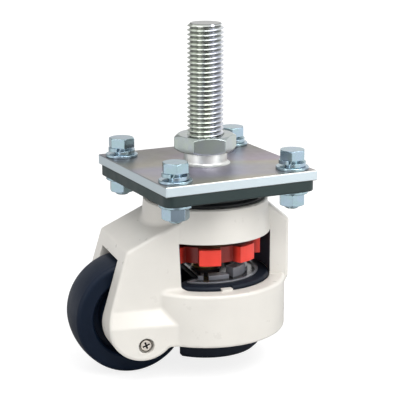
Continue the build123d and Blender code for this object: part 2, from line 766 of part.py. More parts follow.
def lugs():
    """Raised lugs on the core's face, low and high in turn, mirrored about the wheel's plane."""
    pitch = 360 / lug_count
    limit = foot_slab(core_radius, pad_wall + core_rim_width, core_face, 0)
    found = []
    for turn in range(lug_count):
        angle = -90 + turn * pitch
        if abs(angle % 360 - 180) < pocket_flank:
            continue
        mirrored_turn = min(turn, (lug_count // 2 - turn) % lug_count)
        height = lug_heights[mirrored_turn % 2]
        arc = CenterArc((0, 0), (lug_inner_radius + lug_outer_radius) / 2,
                        angle - lug_width_angle / 2, lug_width_angle)
        found.append((Pos(0, 0, core_face) * extrude(lug_plan(arc), height)) & limit)
    return found


def lug_plan(arc):
    """Sector of the lug circle between the inner and outer radius."""
    start, end = arc @ 0, arc @ 1
    wedge = Polygon((0, 0), (start.X * 2, start.Y * 2), (end.X * 2, end.Y * 2), align=None)
    return (Circle(lug_outer_radius) - Circle(lug_inner_radius)) & wedge


def make_foot_pad():
    """Rubber foot around the core, grooved underneath and keyed to the housing."""
    low = foot_bottom
    flare = ring_bottom + foot_flare_rise
    top = foot_top - core_stand
    body = turned((0, low), (foot_base_radius - foot_base_edge, low),
                  (foot_base_radius, low + foot_base_edge), (foot_base_radius + foot_base_draft, flare),
                  (foot_rim_radius, flare + foot_flare_height),
                  (foot_rim_radius, top - foot_top_edge), (foot_rim_radius - foot_top_edge, top),
                  (0, top))
    body &= foot_slab(foot_rim_radius + 1, 0, low, foot_top)
    body -= foot_slab(core_radius + seat_gap, pad_wall - seat_gap, core_plate_bottom, foot_top)
    well = disc(core_hub_radius + seat_gap, well_bottom, core_face)
    body -= well & foot_slab(core_radius + seat_gap, pad_wall - seat_gap, well_bottom, core_face)
    key = Pos(0, -foot_bore_radius, 0) * Box(2 * (key_half_width + side_gap),
                                             2 * (key_depth + side_gap), top_span)
    half = foot_groove_width / 2
    for radius in foot_groove_radii:
        body -= tube(radius + half, radius - half, low - 1, low + foot_groove_depth)
    return body - key - mirrored_y(key)


def make_spindle_washer():
    """Washer between the spindle's shoulder and the core of the foot."""
    return tube(thrust_washer_radius, spindle_journal_radius + hole_play / 2, core_face, washer_top)


# ---- wheel, axle and bearings ---------------------------------------------------------
def make_wheel():
    """Solid wheel with a crowned tread, recessed sides and seats for two bearings."""
    half = wheel_width / 2
    shoulder = wheel_radius - wheel_crown
    floor = half - wheel_recess_depth
    seat = bearing_outer_radius + seat_gap
    lip = bearing_outer_radius - bearing_seat_lip
    edge = wheel_recess_edge
    side = Polyline((shoulder, half), (wheel_recess_radius + edge, half),
                    (wheel_recess_radius, half - edge), (wheel_recess_radius - edge, floor),
                    (wheel_hub_radius + edge, floor),
                    (wheel_hub_radius, wheel_hub_face - wheel_hub_edge),
                    (wheel_hub_radius - wheel_hub_edge, wheel_hub_face), (seat, wheel_hub_face),
                    (seat, bearing_inner_face), (lip, bearing_inner_face), (lip, 0))
    tread = ThreePointArc((shoulder, -half), (wheel_radius, 0), (shoulder, half))
    profile = make_face(Plane.XZ * (side + mirror(side, about=Plane.XZ) + tread))
    wheel = revolve(profile, Axis.Z)
    rims = wheel.edges().filter_by(GeomType.CIRCLE).sort_by(SortBy.RADIUS)
    rims = [edge for edge in rims if abs(edge.radius - shoulder) < near_enough]
    return on_axle(fillet(rims, wheel_shoulder))


def bearing_groove():
    """Groove that both rings of a wheel bearing take their share of."""
    middle = (wheel_hub_face + bearing_inner_face) / 2
    section = Plane.XZ * Pos(bearing_pitch, middle) * Circle(bearing_ball_radius + ball_play)
    return revolve(section, Axis.Z)


def make_bearing_outer():
    """Outer ring of a wheel bearing."""
    ring = tube(bearing_outer_radius, bearing_outer_radius - bearing_outer_wall,
                bearing_inner_face, wheel_hub_face)
    return on_axle(ring - bearing_groove())


def make_bearing_inner():
    """Inner ring of a wheel bearing."""
    bore = axle_radius + seat_gap
    ring = tube(axle_radius + bearing_inner_wall, bore, bearing_inner_face, wheel_hub_face)
    return on_axle(ring - bearing_groove())


def make_bearing_balls():
    """Balls of a wheel bearing."""
    middle = (wheel_hub_face + bearing_inner_face) / 2
    balls = [loc * Sphere(bearing_ball_radius)
             for loc in PolarLocations(bearing_pitch, bearing_ball_count)]
    return on_axle(Pos(0, 0, middle) * Compound(children=balls))


def make_bearing_shield():
    """Thin shield in the outer ring that keeps dirt out of the balls."""
    outer = bearing_outer_radius - bearing_outer_wall
    inner = axle_radius + bearing_inner_wall + side_gap
    return on_axle(tube(outer, inner, wheel_hub_face - bearing_shield_thickness, wheel_hub_face))


def make_bearing_spacer():
    """Sleeve between the inner rings of the two wheel bearings."""
    return on_axle(tube(axle_radius + bearing_inner_wall, axle_radius + seat_gap,
                        -bearing_inner_face, bearing_inner_face))


def make_axle():
    """Plain axle whose ends seat in the legs' slots."""
    rod = Cylinder(axle_radius, 2 * axle_half_length)
    return on_axle(chamfer(rod.edges().filter_by(GeomType.CIRCLE), axle_chamfer))


def make_axle_washer():
    """Washer between a leg and the inner ring of the bearing."""
    return on_axle(tube(axle_radius + bearing_inner_wall, axle_radius + seat_gap,
                        wheel_hub_face, leg_inner))


def make_keeper_block():
    """Block that closes the axle's slot from below, tapped for the keeper screw."""
    top = axle_height - axle_radius - seat_gap
    middle = (leg_inner + side_gap + slot_end) / 2
    block = Pos(-wheel_offset, -middle, top - keeper_block_height / 2) * Box(
        2 * axle_radius, slot_end - leg_inner - side_gap, keeper_block_height)
    return block - at_keeper(disc(screw_radius + seat_gap, 0, slot_end + 1))


def make_keeper_screw():
    """Cross-recessed screw that holds the keeper block from outside the leg."""
    floor = screw_recess_floor
    top = floor + screw_head_height
    tip = leg_inner + screw_tip_step
    head = turned((0, tip), (screw_radius - screw_tip_chamfer, tip),
                  (screw_radius, tip + screw_tip_chamfer), (screw_radius, floor),
                  (screw_head_radius, floor), (screw_head_radius, top - screw_head_edge),
                  (screw_head_radius - screw_head_edge, top), (0, top))
    slot = Pos(0, 0, top) * Box(screw_cross, screw_cross_width, screw_head_height)
    cross = Rot(0, 0, screw_cross_turn) * (slot + Rot(0, 0, 90) * slot)
    return at_keeper(head - cross)


# ---- all nodes ------------------------------------------------------------------------
def single_nodes():
    """Pieces of which the castor has one, or one row."""
    return {
        "mounting_plate": make_mounting_plate(),
        "stud": make_stud(),
        "lock_nut": make_lock_nut(),
        "swivel_plate": make_swivel_plate(),
        "king": make_king(),
        "dust_seal": make_dust_seal(),
        "swivel_race": make_swivel_race(),
        "swivel_balls": make_swivel_balls(),
        "housing": make_housing(),
        "adjuster_bush": make_adjuster_bush(),
        "adjuster_washer": make_adjuster_washer(),
        "adjuster_nut": make_adjuster_nut(),
        "adjuster_clip": make_adjuster_clip(),
        "adjuster_ring": make_adjuster_ring(),
        "spindle": make_spindle(),
        "spindle_washer": make_spindle_washer(),
        "spindle_clip": make_spindle_clip(),
        "foot_core": make_foot_core(),
        "foot_pad": make_foot_pad(),
        "wheel": make_wheel(),
        "axle": make_axle(),
        "bearing_spacer": make_bearing_spacer(),
    }


def bolt_nodes():
    """Bolt, washers and nut at each corner of the plate."""
    nodes = {}
    for name, (x, y) in bolt_places().items():
        place = Pos(x, y, 0)
        nodes["plate_bolt_" + name] = place * make_bolt(name)
        nodes["spring_washer_" + name] = place * make_spring_washer()
        nodes["upper_washer_" + name] = place * make_washer(0)
        nodes["lower_washer_" + name] = place * make_washer(lower_washer_bottom)
        nodes["plate_nut_" + name] = place * make_bolt_nut(name)
    return nodes


def paired_nodes():
    """Pieces that the castor has on both sides of the wheel."""
    makers = {
        "axle_washer": make_axle_washer,
        "bearing_outer": make_bearing_outer,
        "bearing_inner": make_bearing_inner,
        "bearing_balls": make_bearing_balls,
        "bearing_shield": make_bearing_shield,
        "keeper_block": make_keeper_block,
        "keeper_screw": make_keeper_screw,
    }
    nodes = {}
    for name, maker in makers.items():
        shape = maker()
        nodes[name + "_left"] = shape
        nodes[name + "_right"] = mirrored_y(shape)
    return nodes


def main():
    """Write one STEP file for each node."""
    os.makedirs("parts", exist_ok=True)
    nodes = single_nodes() | bolt_nodes() | paired_nodes()
    for name, shape in nodes.items():
        export_step(shape, "parts/" + name + ".step")


if __name__ == "__main__":
    main()
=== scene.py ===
import json
import logging
import math
from dataclasses import dataclass
from enum import Enum

import bmesh
import bpy
import numpy as np
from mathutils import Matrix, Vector


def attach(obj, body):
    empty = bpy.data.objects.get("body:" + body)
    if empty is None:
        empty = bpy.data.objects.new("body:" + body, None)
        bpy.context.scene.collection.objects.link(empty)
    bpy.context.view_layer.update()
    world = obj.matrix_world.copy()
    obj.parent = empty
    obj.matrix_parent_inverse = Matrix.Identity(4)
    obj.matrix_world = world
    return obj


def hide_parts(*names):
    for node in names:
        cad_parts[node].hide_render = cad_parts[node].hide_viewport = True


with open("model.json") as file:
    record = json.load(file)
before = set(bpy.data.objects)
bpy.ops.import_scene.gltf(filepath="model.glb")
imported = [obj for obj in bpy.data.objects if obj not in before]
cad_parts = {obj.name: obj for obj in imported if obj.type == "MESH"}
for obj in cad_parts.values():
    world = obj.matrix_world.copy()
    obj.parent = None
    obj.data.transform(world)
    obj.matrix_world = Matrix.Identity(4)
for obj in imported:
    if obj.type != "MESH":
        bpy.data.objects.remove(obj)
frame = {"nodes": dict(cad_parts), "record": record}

LOG = logging.getLogger("levelling_castor")
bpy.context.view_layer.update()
MM = 0.001  # metres
IMAGE_SIDE = 400  # pixels
SENSOR_WIDTH = 36.0  # millimetres
CLIP_RANGE = (0.01, 20.0)  # metres
BORDER = 0.0001  # metres over which a pattern changes at a crisp border
WELD = 0.000002  # metres within which the points of a new surface are merged
SHARP_ANGLE = 40.0  # degrees of turn above which an edge of a new surface stays crisp
NOISE_RANGE = (0.3, 0.7)  # what fractal noise mostly keeps to
BEVEL_SAMPLES = 6
COAT_ROUGHNESS = 0.12
THREAD_DEPTH = 0.6134  # depth of a rolled thread, as a share of its pitch
# One pitch of a rolled thread: place along it, and share of the depth reached there.
THREAD_PLACE = (0.0, 0.06, 0.16, 0.30, 0.40, 0.50, 0.60, 0.70, 0.84, 0.94)
THREAD_FALL = (0.0, 0.03, 0.28, 0.80, 0.97, 1.0, 0.97, 0.80, 0.28, 0.03)

Point = tuple[float, float, float]
Colour = tuple[float, float, float]
Pair = tuple[float, float]
Profile = tuple[Pair, ...]
Socket = bpy.types.NodeSocket

BLACK: Colour = (0.0, 0.0, 0.0)
WHITE: Colour = (1.0, 1.0, 1.0)


class Body(Enum):
    """Rigid bodies that carry a new piece."""

    PLATE = "plate"
    FOOT = "foot"


def scaled(colour: Colour, factor: float) -> Colour:
    """Darken or lighten a colour, with no channel above 1.

    Args:
        colour: linear colour.
        factor: what each channel is multiplied by.

    Returns:
        The new colour.
    """
    return tuple(min(1.0, factor * channel) for channel in colour)


# ---- node graphs -----------------------------------------------------------------------
class Graph:
    """A small writer for shader node trees."""

    def __init__(self, tree: bpy.types.NodeTree) -> None:
        """Start from an empty tree.

        Args:
            tree: the node tree to fill.
        """
        self.tree = tree
        self.tree.nodes.clear()

    def add(self, kind: str, inputs: dict[str | int, object] | None = None,
            **settings: object) -> bpy.types.Node:
        """Add one node, set its properties and feed its inputs.

        Args:
            kind: the node type's name, without the ShaderNode prefix.
            inputs: socket name or index to a value or to another node's socket.
            settings: plain properties of the node.

        Returns:
            The new node.
        """
        node = self.tree.nodes.new("ShaderNode" + kind)
        for name, value in settings.items():
            setattr(node, name, value)
        for name, value in (inputs or {}).items():
            if isinstance(value, bpy.types.NodeSocket):
                self.tree.links.new(value, node.inputs[name])
            else:
                node.inputs[name].default_value = value
        return node

    def math(self, operation: str, *values: float | Socket) -> Socket:
        """Add a Math node.

        Args:
            operation: the operation's name.
            values: numbers or sockets, in order.

        Returns:
            The result socket.
        """
        return self.add("Math", dict(enumerate(values)), operation=operation).outputs[0]

    def product(self, first: Socket, *others: float | Socket) -> Socket:
        """Multiply values.

        Args:
            first: a socket.
            others: numbers or sockets to multiply it by.

        Returns:
            The result socket.
        """
        for other in others:
            first = self.math("MULTIPLY", first, other)
        return first

    def length(self, across: Socket, along: Socket) -> Socket:
        """Length of a vector in a plane.

        Args:
            across: its first component.
            along: its second one.

        Returns:
            The length's socket.
        """
        squares = [self.math("POWER", part, 2.0) for part in (across, along)]
        return self.math("SQRT", self.math("ADD", *squares))

    def ramp(self, value: Socket, stops: tuple[tuple[float, Colour], ...]) -> Socket:
        """Map a value from 0 to 1 through colours.

        Args:
            value: the socket to map.
            stops: position and colour of each stop, in order.

        Returns:
            The colour socket.
        """
        node = self.add("ValToRGB", {0: value})
        points = node.color_ramp.elements
        while len(points) < len(stops):
            points.new(1.0)
        for point, (position, colour) in zip(points, stops):
            point.position = position
            point.color = (*colour, 1.0)
        return node.outputs["Color"]

    def mix(self, amount: float | Socket, first: Colour | Socket,
            second: Colour | Socket) -> Socket:
        """Mix two colours.

        Args:
            amount: share of the second colour.
            first: colour at 0.
            second: colour at 1.

        Returns:
            The colour socket.
        """
        values = [(*c, 1.0) if isinstance(c, tuple) else c for c in (first, second)]
        node = self.add("Mix", {0: amount, 6: values[0], 7: values[1]}, data_type="RGBA")
        return node.outputs[2]

    def spread(self, value: Socket, low: float, high: float, to_low: float = 0.0,
               to_high: float = 1.0) -> Socket:
        """Stretch a range of values onto another one, smoothly and without overshoot.

        Args:
            value: the socket to map.
            low: value that gives to_low.
            high: value that gives to_high.
            to_low: result at the low end.
            to_high: result at the high end.

        Returns:
            The mapped socket.
        """
        node = self.add("MapRange", {0: value, 1: low, 2: high, 3: to_low, 4: to_high},
                        interpolation_type="SMOOTHSTEP")
        return node.outputs[0]

    def place(self, stretch: Point = (1.0, 1.0, 1.0), turn: float = 0.0) -> Socket:
        """Object coordinates, stretched and turned about Z.

        Args:
            stretch: scale along each axis.
            turn: turn about Z in degrees.

        Returns:
            The vector socket.
        """
        where = self.add("TexCoord").outputs["Object"]
        node = self.add("Mapping", {"Vector": where, "Scale": stretch,
                                    "Rotation": (0.0, 0.0, math.radians(turn))})
        return node.outputs[0]

    def split(self, vector: Socket | None = None) -> tuple[Socket, Socket, Socket]:
        """Components of a vector.

        Args:
            vector: the vector, or None for the object coordinates.

        Returns:
            The sockets of X, Y and Z.
        """
        node = self.add("SeparateXYZ", {0: self.place() if vector is None else vector})
        return tuple(node.outputs)

    def noise(self, where: Socket, grain: float, detail: float,
              rough: float = 0.5) -> Socket:
        """Fractal noise.

        Args:
            where: coordinates.
            grain: size of one grain in metres.
            detail: octaves.
            rough: share of the fine octaves.

        Returns:
            The value socket, 0 to 1.
        """
        node = self.add("TexNoise", {"Vector": where, "Scale": 1.0 / grain, "Detail": detail,
                                     "Roughness": rough})
        return node.outputs[0]


# ---- finishes --------------------------------------------------------------------------
@dataclass(frozen=True)
class Finish:
    """Base of all finishes: a Principled surface with rounded edges and a fine relief.

    Attributes:
        name: material name.
        colour: main colour, linear.
        metallic: 1 for bare metal.
        roughness: mean roughness.
        vary: how far the roughness wanders each way.
        grain: size of the relief's grains in metres.
        relief: height of the relief in metres.
        edge: radius in metres by which edges look rounded, 0 for none.
        coat: weight of a clear coat.
        shine: specular level, 0.5 for common plastic.
    """

    name: str
    colour: Colour
    metallic: float = 0.0
    roughness: float = 0.4
    vary: float = 0.05
    grain: float = 0.0012
    relief: float = 0.00001
    edge: float = 0.0003
    coat: float = 0.0
    shine: float = 0.5

    def clouded(self, graph: Graph, cloud: Socket, dark: float, light: float) -> Socket:
        """The main colour, wandering with a pattern.

        Args:
            graph: the tree to write in.
            cloud: the pattern, 0 to 1.
            dark: the colour's factor where the pattern is low.
            light: its factor where the pattern is high.

        Returns:
            The colour socket.
        """
        low, high = NOISE_RANGE
        return graph.ramp(cloud, ((low, scaled(self.colour, dark)),
                                  (high, scaled(self.colour, light))))

    def tint(self, graph: Graph) -> Socket:
        """Colour pattern of the finish.

        Args:
            graph: the tree to write in.

        Returns:
            The colour socket.
        """
        cloud = graph.noise(graph.place(), grain=0.018, detail=4.0)
        return self.clouded(graph, cloud, dark=0.9, light=1.05)

    def height(self, graph: Graph) -> Socket:
        """Relief pattern of the finish.

        Args:
            graph: the tree to write in.

        Returns:
            The height's socket, 0 to 1.
        """
        return graph.noise(graph.place(), self.grain, detail=2.0)

    def gloss(self, graph: Graph) -> Socket:
        """Roughness pattern: the mean with slow smudges.

        Args:
            graph: the tree to write in.

        Returns:
            The roughness socket.
        """
        smudge = graph.noise(graph.place(), grain=0.009, detail=5.0, rough=0.6)
        return graph.spread(smudge, *NOISE_RANGE, self.roughness - self.vary,
                            self.roughness + self.vary)

    def more(self, graph: Graph) -> dict[str, Socket]:
        """Further patterns of the shader.

        Args:
            graph: the tree to write in.

        Returns:
            The shader's socket name to the pattern's socket.
        """
        return {}

    def settle(self, shader: bpy.types.Node) -> None:
        """Set what is the same all over on the shader itself.

        Args:
            shader: the Principled node.
        """
        shader.inputs["Metallic"].default_value = self.metallic
        shader.inputs["Coat Weight"].default_value = self.coat
        shader.inputs["Coat Roughness"].default_value = COAT_ROUGHNESS
        shader.inputs["Specular IOR Level"].default_value = self.shine

    def material(self) -> bpy.types.Material:
        """Write the finish as a node material.

        Returns:
            The new material.
        """
        made = bpy.data.materials.new(self.name)
        made.use_nodes = True
        made.diffuse_color = (*self.colour, 1.0)
        graph = Graph(made.node_tree)
        relief = {"Height": self.height(graph), "Distance": self.relief, "Strength": 1.0}
        if self.edge:
            rounded = graph.add("Bevel", {"Radius": self.edge}, samples=BEVEL_SAMPLES)
            relief["Normal"] = rounded.outputs[0]
        bump = graph.add("Bump", relief).outputs[0]
        shader = graph.add("BsdfPrincipled", {"Base Color": self.tint(graph),
                                              "Roughness": self.gloss(graph), "Normal": bump,
                                              **self.more(graph)})
        self.settle(shader)
        graph.add("OutputMaterial", {"Surface": shader.outputs[0]})
        return made


@dataclass(frozen=True)
class CastPaint(Finish):
    """Powder coat over a sand casting: slow undulations under a fine orange peel.

    Attributes:
        bore: radii in metres inside which the casting is painted dark as shade, above and
        below the top of the windows.
        window: height of the top of the windows.
        ends: heights between which the painted shade shows.
        inner_shade: colour of the painted shade inside the windows.
        waviness: height of the casting's waves beside the orange peel's grains.
        specks: share by which dark specks dim the powder.
    """

    bore: Pair = (0.0322, 0.0362)
    window: float = -0.0377
    ends: Pair = (-0.0624, -0.0195)
    # painted shade: dark, dull and uncoated inside the windows, where shade falls under the
    # drum
    inner_shade: Colour = (0.055, 0.058, 0.090)
    waviness: float = 3.0
    specks: float = 0.35

    def height(self, graph: Graph) -> Socket:
        """Sum of the orange peel and the casting's own waviness."""
        peel = graph.noise(graph.place(), self.grain, detail=2.0)
        wave = graph.noise(graph.place(), grain=0.007, detail=2.0)
        return graph.math("ADD", peel, graph.product(wave, self.waviness))

    def tint(self, graph: Graph) -> Socket:
        """Ivory that greys a little in patches, with rare dark specks in the powder, and
        painted shade inside the windows.
        """
        cloud = graph.noise(graph.place(), grain=0.03, detail=4.0)
        powder = self.clouded(graph, cloud, dark=0.95, light=1.02)
        speck = graph.noise(graph.place(), grain=0.0009, detail=1.0)
        dirt_and_shade = graph.spread(speck, 0.8, 0.86, 0.0, self.specks)
        outside = graph.mix(dirt_and_shade, powder, scaled(self.colour, 0.5))
        return graph.mix(self.shaded_inside(graph), outside, self.inner_shade)

    def gloss(self, graph: Graph) -> Socket:
        """Glossy paint, and dull where shade is painted inside the windows."""
        return graph.math("MAXIMUM", super().gloss(graph), self.shaded_inside(graph))

    def more(self, graph: Graph) -> dict[str, Socket]:
        """A clear coat on the paint and none where shade is painted inside the windows."""
        return {"Coat Weight": graph.spread(self.shaded_inside(graph), 0.0, 1.0, self.coat, 0.0)}

    def shaded_inside(self, graph: Graph) -> Socket:
        """Where the shade is painted, inside the casting round the windows.

        Args:
            graph: the tree to write in.

        Returns:
            A socket, 1 where the shade is painted and 0 on the paint.
        """
        x, y, level = graph.split()
        wall = graph.spread(level, self.window - BORDER, self.window, self.bore[1],
                            self.bore[0])
        inner = graph.math("LESS_THAN", graph.length(x, y), wall)
        under = graph.math("LESS_THAN", level, self.ends[1])
        over = graph.math("GREATER_THAN", level, self.ends[0])
        return graph.product(inner, under, over)


@dataclass(frozen=True)
class RainbowZinc(Finish):
    """Rolled plate with passivated zinc: drifting bands of colour and paler sheared edges.

    Attributes:
        violet: colour of the first and last band.
        straw: colour of the band in the middle.
        rose: colour of the band between them.
        side: colour of the sheared edges.
        back_shade: colour of the painted shade that darkens the top towards the back of the
            plate.
        back: values of Y between which the painted shade comes in.
        darkening: share of that colour at the back.
    """

    violet: Colour = (0.36, 0.33, 0.47)
    straw: Colour = (0.43, 0.40, 0.33)
    rose: Colour = (0.43, 0.36, 0.40)
    side: Colour = (0.57, 0.65, 0.69)
    back_shade: Colour = (0.10, 0.10, 0.11)
    back: Pair = (-0.02, 0.035)
    darkening: float = 0.6

    def tint(self, graph: Graph) -> Socket:
        """Bands that drift along the rolling direction, painted shade towards the back, and
        plain zinc on the sides.
        """
        rolled = graph.place((0.35, 1.0, 1.0), 25.0)
        drift = graph.noise(rolled, grain=0.045, detail=2.0, rough=0.4)
        bands = graph.ramp(drift, ((0.28, self.violet), (0.42, self.rose), (0.5, self.straw),
                                   (0.6, self.colour), (0.72, self.violet)))
        _, _, up = graph.split(graph.add("NewGeometry").outputs["True Normal"])
        flat = graph.spread(graph.math("ABSOLUTE", up), 0.55, 0.8)
        _, y, _ = graph.split()
        # painted shade: the top darkens towards the back, where its reflection is dimmer
        painted_dim = graph.spread(y, *self.back, 0.0, self.darkening)
        return graph.mix(flat, self.side, graph.mix(painted_dim, bands, self.back_shade))

    def height(self, graph: Graph) -> Socket:
        """Fine rolling lines along one direction."""
        return graph.noise(graph.place((0.04, 1.0, 1.0), 7.5), self.grain, detail=3.0)


@dataclass(frozen=True)
class ClearZinc(Finish):
    """Bright metal with a cool or warm second tint that comes and goes.

    Attributes:
        second: the second tint.
        patch: size of the patches in metres.
    """

    second: Colour = (0.60, 0.66, 0.74)
    patch: float = 0.006

    def tint(self, graph: Graph) -> Socket:
        """Cloudy change between the two tints, and pin-point dulling."""
        cloud = graph.noise(graph.place(), self.patch, detail=4.0, rough=0.55)
        plated = graph.mix(graph.spread(cloud, 0.38, 0.62), self.colour, self.second)
        points = graph.noise(graph.place(), grain=0.0006, detail=2.0)
        pits = graph.spread(points, 0.62, 0.75, 0.0, 0.4)
        return graph.mix(pits, plated, scaled(self.colour, 0.7))


@dataclass(frozen=True)
class ThreadZinc(ClearZinc):
    """Metal of a rolled thread, tinted in upright stripes and a painted side reflection, with
    painted shade in the roots.

    Attributes:
        root: radius at which the painted shade is darkest.
        crest: radius at which it ends.
        shoulder: height below which the shaft is plain and satin.
        satin: colour there.
        reflection_shift: how fast the painted reflection tint changes from side to side, per
            metre.
        dull: roughness that the plain part has on top of the thread's.
    """

    root: float = 0.0085
    crest: float = 0.0089
    shoulder: float = 0.0069
    satin: Colour = (0.74, 0.75, 0.73)
    reflection_shift: float = 20.0
    dull: float = 0.32

    def tint(self, graph: Graph) -> Socket:
        """Tints that change round the shaft and from side to side as a painted reflection,
        with painted shade towards the root radius.
        """
        x, y, _ = graph.split()
        stripe = graph.noise(graph.place((1.0, 1.0, 0.12)), self.patch, detail=3.0)
        # painted reflection: main colour on the left, second on the right, as from a warmer
        # lamp on the left
        across = graph.math("MULTIPLY_ADD", x, self.reflection_shift, stripe)
        metal = graph.mix(graph.spread(across, 0.35, 0.65), self.colour, self.second)
        # painted shade: the thread darkens towards the root radius, where shade falls between
        # the crests
        root_shade = graph.spread(graph.length(x, y), self.root, self.crest, 0.85, 0.0)
        thread = graph.mix(root_shade, metal, scaled(self.colour, 0.10))
        return graph.mix(self.plain(graph), thread, self.satin)

    def gloss(self, graph: Graph) -> Socket:
        """Polished thread flanks over a satin shoulder."""
        return graph.math("ADD", super().gloss(graph),
                          graph.product(self.plain(graph), self.dull))

    def plain(self, graph: Graph) -> Socket:
        """Where the shaft has no thread.

        Args:
            graph: the tree to write in.

        Returns:
            A socket, 1 below the shoulder and 0 above it.
        """
        _, _, level = graph.split()
        return graph.spread(level, self.shoulder - BORDER, self.shoulder, 1.0, 0.0)


@dataclass(frozen=True)
class CrossHead(ClearZinc):
    """Plated screw head with painted shade in its cross slots and a painted shadow round its
    face.

    Attributes:
        axis: X and Z of the screw's axis, which runs along Y.
        floor: distance from the wheel's plane below which the slots are dark.
        span: how far the slots reach from the axis.
        face: radius of the face inside the painted shadow.
        dirt_and_shade: colour of the painted shadow of the recess round the face.
        slot_shade: colour of the painted shade in the slots.
    """

    axis: Pair = (-0.0448, -0.0908)
    floor: float = 0.0324
    span: float = 0.0023
    face: float = 0.0028
    dirt_and_shade: Colour = (0.06, 0.05, 0.04)
    slot_shade: Colour = (0.02, 0.02, 0.02)

    def tint(self, graph: Graph) -> Socket:
        """Plated colour, with black painted shade in the slots and a brown painted shadow
        round the face.
        """
        x, y, z = graph.split()
        away = graph.length(graph.math("SUBTRACT", x, self.axis[0]),
                            graph.math("SUBTRACT", z, self.axis[1]))
        # painted shade: black cross slots, and a dark ring round the face for the recess's
        # shadow
        deep = graph.math("LESS_THAN", graph.math("ABSOLUTE", y), self.floor)
        slot = graph.product(deep, graph.math("LESS_THAN", away, self.span))
        rim = graph.spread(away, self.face, self.face + 3 * BORDER, 0.0, 0.9)
        plated = graph.mix(rim, super().tint(graph), self.dirt_and_shade)
        return graph.mix(slot, plated, self.slot_shade)


@dataclass(frozen=True)
class Moulded(Finish):
    """Moulded plastic or rubber with a fine, even grain and faint flow marks."""

    def tint(self, graph: Graph) -> Socket:
        """Almost even colour with faint streaks."""
        streak = graph.noise(graph.place((1.0, 1.0, 0.3)), grain=0.012, detail=4.0)
        return self.clouded(graph, streak, dark=0.86, light=1.12)


@dataclass(frozen=True)
class Shaded(Moulded):
    """Moulding with painted shade that darkens what lies below or inside a limit.

    Attributes:
        limits: values at which the painted shade is full and at which it ends.
        painted_shade: how far it darkens.
        upright: True to measure the height, False for the distance from the Z axis.
    """

    limits: Pair = (0.0, 1.0)
    painted_shade: float = 0.7
    upright: bool = False

    def tint(self, graph: Graph) -> Socket:
        """The moulding's colour, darker where the shade is painted."""
        x, y, level = graph.split()
        where = level if self.upright else graph.length(x, y)
        # painted shade: darker below or inside the limit, where shade falls
        amount = graph.spread(where, *self.limits, self.painted_shade, 0.0)
        return graph.mix(amount, super().tint(graph), scaled(self.colour, 0.02))


class Slot(Enum):
    """Finish of each material slot."""

    PLATE = RainbowZinc("plate_zinc", (0.38, 0.365, 0.39), metallic=1.0, roughness=0.38,
                        vary=0.04, grain=0.0006, relief=0.0000015)
    # painted reflection: the stud's olive colour and cooler second tint are spread from left
    # to right
    STUD = ThreadZinc("stud_zinc", (0.69, 0.73, 0.66), metallic=1.0, roughness=0.12,
                      vary=0.03, grain=0.0008, relief=0.0000005, edge=0.0,
                      second=(0.60, 0.62, 0.68))
    LOCK_NUT = ClearZinc("lock_nut_zinc", (0.40, 0.45, 0.42), metallic=1.0, roughness=0.16,
                         vary=0.06, grain=0.0007, relief=0.000003, edge=0.0009,
                         second=(0.39, 0.43, 0.44))
    BOLT = ClearZinc("bolt_zinc", (0.35, 0.45, 0.54), metallic=1.0, roughness=0.17,
                     grain=0.0006, relief=0.000002, edge=0.0004, second=(0.33, 0.45, 0.49))
    SWIVEL_PLATE = Finish("swivel_plate", (0.018, 0.034, 0.034), roughness=0.46, vary=0.06,
                          grain=0.0005, relief=0.000012, edge=0.0005, shine=0.35)
    SEAL = Moulded("seal_rubber", (0.010, 0.012, 0.013), roughness=0.5, shine=0.3)
    HOUSING = CastPaint("cast_housing", (0.76, 0.735, 0.68), roughness=0.33, vary=0.06,
                        grain=0.0011, relief=0.000012, edge=0.0006, coat=0.15)
    BEARING = ClearZinc("bearing_steel", (0.50, 0.50, 0.51), metallic=1.0, roughness=0.22)
    BUSH = Moulded("bush_plastic", (0.04, 0.04, 0.045), roughness=0.45)
    BRASS_NUT = ClearZinc("brass_nut", (0.62, 0.47, 0.22), metallic=1.0, roughness=0.30,
                          second=(0.55, 0.44, 0.26))
    BRASS = ThreadZinc("spindle_brass", (0.80, 0.60, 0.21), metallic=0.4, roughness=0.30,
                       grain=0.0008, relief=0.000001, edge=0.0, second=(0.62, 0.50, 0.28),
                       root=0.0068, crest=0.0073, shoulder=-0.0599, satin=(0.66, 0.52, 0.26))
    # painted shade between the ring's teeth, inside the root radius
    RED = Shaded("adjuster_red", (0.88, 0.050, 0.028), roughness=0.36, grain=0.0006,
                 relief=0.000006, edge=0.0006, limits=(0.0252, 0.0298), painted_shade=0.72)
    # painted shade on the foot's face below the lugs and the rim, which stay light
    CORE = Shaded("foot_core", (0.25, 0.26, 0.29), roughness=0.22, vary=0.06, grain=0.0008,
                  edge=0.0005, coat=0.4, limits=(-0.0613, -0.0603), painted_shade=0.85,
                  upright=True)
    RUBBER = Moulded("foot_rubber", (0.009, 0.013, 0.022), roughness=0.5, vary=0.06,
                     grain=0.0008, edge=0.0005, shine=0.14)
    WHEEL = Moulded("wheel_nylon", (0.006, 0.012, 0.026), roughness=0.38, grain=0.0008,
                    relief=0.000006, edge=0.0004, shine=0.14)
    KEEPER = Moulded("keeper_block", (0.035, 0.036, 0.04), roughness=0.45)
    SCREW = CrossHead("keeper_screw", (0.80, 0.74, 0.68), metallic=0.35, roughness=0.26,
                      second=(0.74, 0.68, 0.61))


